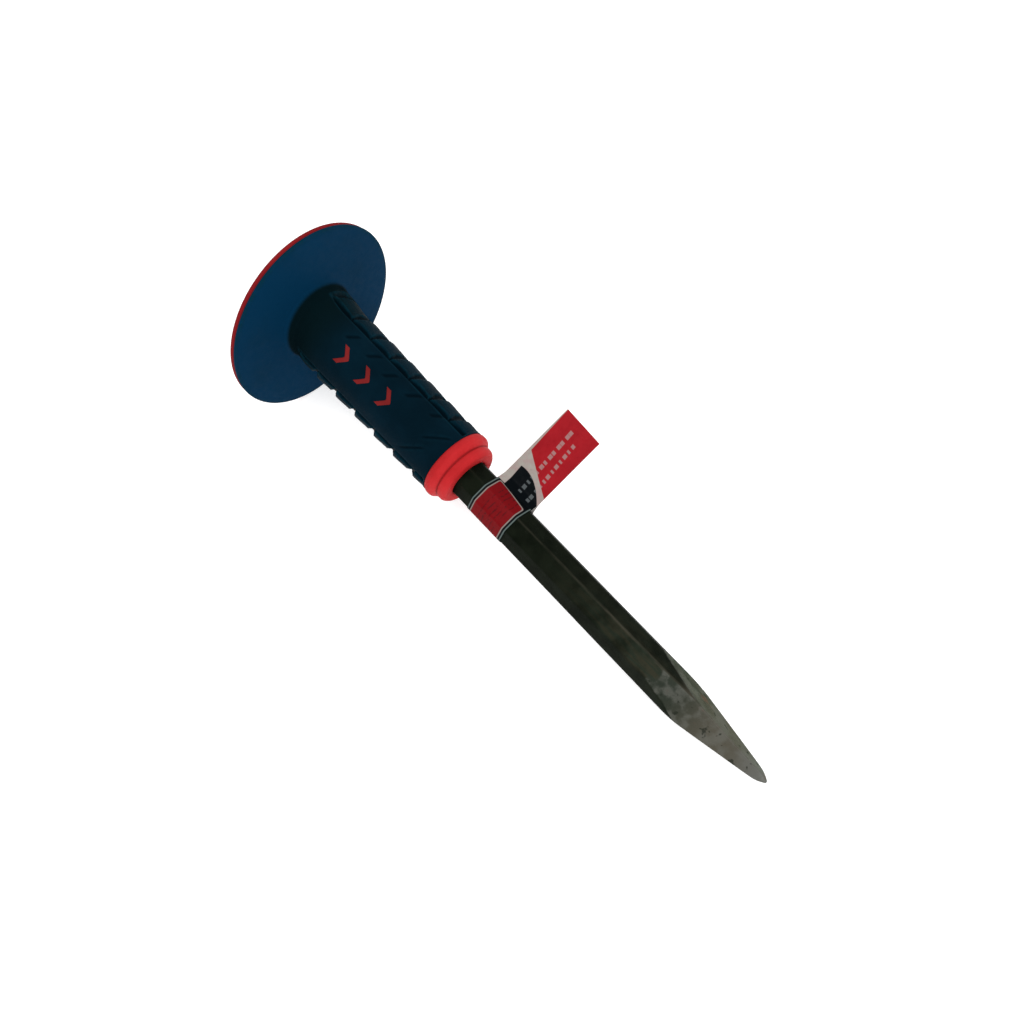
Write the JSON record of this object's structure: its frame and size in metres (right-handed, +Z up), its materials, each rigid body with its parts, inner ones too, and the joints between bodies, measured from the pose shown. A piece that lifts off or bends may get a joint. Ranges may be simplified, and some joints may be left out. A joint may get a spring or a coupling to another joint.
{
  "type": "cold chisel",
  "caption": "Pointed cold chisel with an octagonal steel shank, a moulded grip with a round hand guard, and a wrap-around label whose ends form a flag.",
  "frame": {"origin": "middle of the footprint on the surface that the tool lies on: the guard's rim and the heel of the point touch z = 0", "axes": "+X runs towards the tip along the surface, +Z up; the tool's own axis leans down towards the tip by 8.695 degrees in the XZ plane"},
  "size_m": [0.3024, 0.0944, 0.0933],
  "materials": {
    "forged_steel": "dark olive-black lacquer over forged steel, worn to grey at the ground point",
    "red_rubber": "smooth satin moulding",
    "navy_rubber": "fine matte moulding",
    "printed_film": "printed red film with a navy and white field"
  },
  "bodies": {
    "root": {"chisel_bar": "forged_steel", "grip_core": "red_rubber", "grip_cover": "navy_rubber", "wrap_label": "printed_film"}
  },
  "joints": []
}
